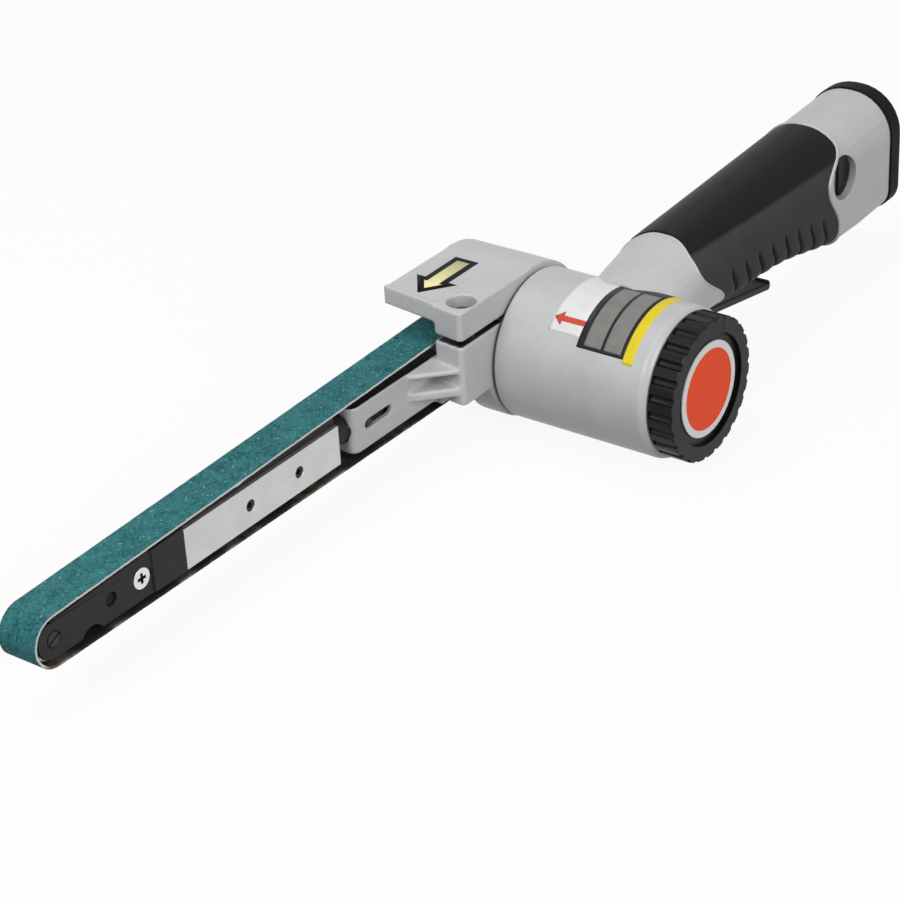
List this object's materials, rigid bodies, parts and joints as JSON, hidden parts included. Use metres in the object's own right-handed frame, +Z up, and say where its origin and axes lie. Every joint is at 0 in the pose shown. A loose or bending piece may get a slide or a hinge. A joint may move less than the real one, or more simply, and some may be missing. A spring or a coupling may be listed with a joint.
{
  "type": "air belt sander",
  "caption": "Air belt sander with a vane motor set across a rubber grip handle, a swivelling guarded head and a spring-loaded arm that carries a narrow abrasive belt.",
  "frame": {"origin": "centre of the air inlet's mouth at the rear end of the handle", "axes": "+X out of the inlet, away from the belt's tip; +Y from the handle's mid-plane toward the belt; +Z up, with the guard on top and the throttle lever underneath"},
  "size_m": [0.3608, 0.0929, 0.0602],
  "materials": {
    "casting": "silk grey coat over a die casting",
    "head_casting": "silk grey coat over a die casting",
    "grip_rubber": "matte moulded rubber",
    "black_plastic": "matte moulded",
    "dark_plastic": "matte moulded",
    "ring_black": "black anodised",
    "disc_print": "printed film",
    "black_paint": "black oxide",
    "plate_steel": "bright rolled",
    "bright_steel": "bright plated",
    "dark_steel": "black oxide",
    "spring_steel": "ground",
    "pulley_aluminium": "turned",
    "screen_brass": "turned",
    "felt": "pressed felt",
    "seal_rubber": "moulded",
    "vane_laminate": "machined laminate",
    "belt_grit": "coated abrasive on cloth"
  },
  "bodies": {
    "housing": {"motor_housing": "casting", "handle_body": "casting", "air_stub": "spring_steel", "grip": "grip_rubber", "end_cap": "black_plastic", "cap_screws": "dark_steel", "inlet_bush": "bright_steel", "inlet_screen": "screen_brass", "silencer": "felt", "valve_bush": "screen_brass", "valve_spring": "spring_steel", "lever_pin": "spring_steel", "lock_ring": "ring_black", "end_disc": "disc_print", "liner": "spring_steel", "front_plate": "spring_steel", "rear_plate": "spring_steel", "front_bearing": "bright_steel", "rear_bearing": "bright_steel"},
    "rotor": {"rotor": "spring_steel", "vanes": "vane_laminate", "drive_pulley": "pulley_aluminium", "pulley_washer": "bright_steel", "pulley_screw": "dark_steel"},
    "head": {"head": "head_casting", "clamp_screw": "dark_steel", "belt": "belt_grit", "tension_spring": "spring_steel"},
    "arm": {"arm_bar": "black_paint", "guide_pin": "dark_steel", "side_plate": "plate_steel", "plate_screws": "dark_steel", "tip_fork": "black_paint", "fork_screw": "bright_steel", "tip_axle": "dark_steel"},
    "tip": {"tip_pulley": "pulley_aluminium", "tip_bearing": "bright_steel"},
    "lever": {"lever": "black_paint"},
    "valve": {"valve_stem": "bright_steel", "valve_seal": "seal_rubber"},
    "regulator": {"regulator": "dark_plastic", "regulator_seal": "seal_rubber"}
  },
  "joints": [
    {"name": "head_swivel", "type": "hinge", "parent": "housing", "child": "head", "pos_m": [-0.156, 0.03235, -0.013], "axis": [0, 1, 0], "range_deg": [-90, 90]},
    {"name": "rotor_spin", "type": "hinge", "parent": "housing", "child": "rotor", "pos_m": [-0.156, 0, -0.013], "axis": [0, 1, 0], "continuous": true},
    {"name": "arm_slide", "type": "slide", "parent": "head", "child": "arm", "axis": [1, 0, 0], "range_m": [0, 0.005], "stiffness_N_per_m": 4000, "springref_m": -0.004, "deforming": ["tension_spring"]},
    {"name": "idler_spin", "type": "hinge", "parent": "arm", "child": "tip", "pos_m": [-0.353, 0.0468, -0.0149], "axis": [0, 1, 0], "continuous": true},
    {"name": "lever_pivot", "type": "hinge", "parent": "housing", "child": "lever", "pos_m": [-0.123, 0, -0.014], "axis": [0, -1, 0], "range_deg": [0, 5], "stiffness_Nm_per_rad": 1.5, "springref_deg": -3.44},
    {"name": "valve_slide", "type": "slide", "parent": "housing", "child": "valve", "axis": [0, 0, 1], "range_m": [0, 0.0015], "deforming": ["valve_spring"]},
    {"name": "regulator_turn", "type": "hinge", "parent": "housing", "child": "regulator", "pos_m": [-0.041, -0.008, 0.006], "axis": [0, 1, 0], "range_deg": [-90, 90]}
  ],
  "couplings": [
    {"joint": "idler_spin", "follows": "rotor_spin", "ratio": 1.6212},
    {"joint": "valve_slide", "follows": "lever_pivot", "m_per_rad": 0.017}
  ]
}
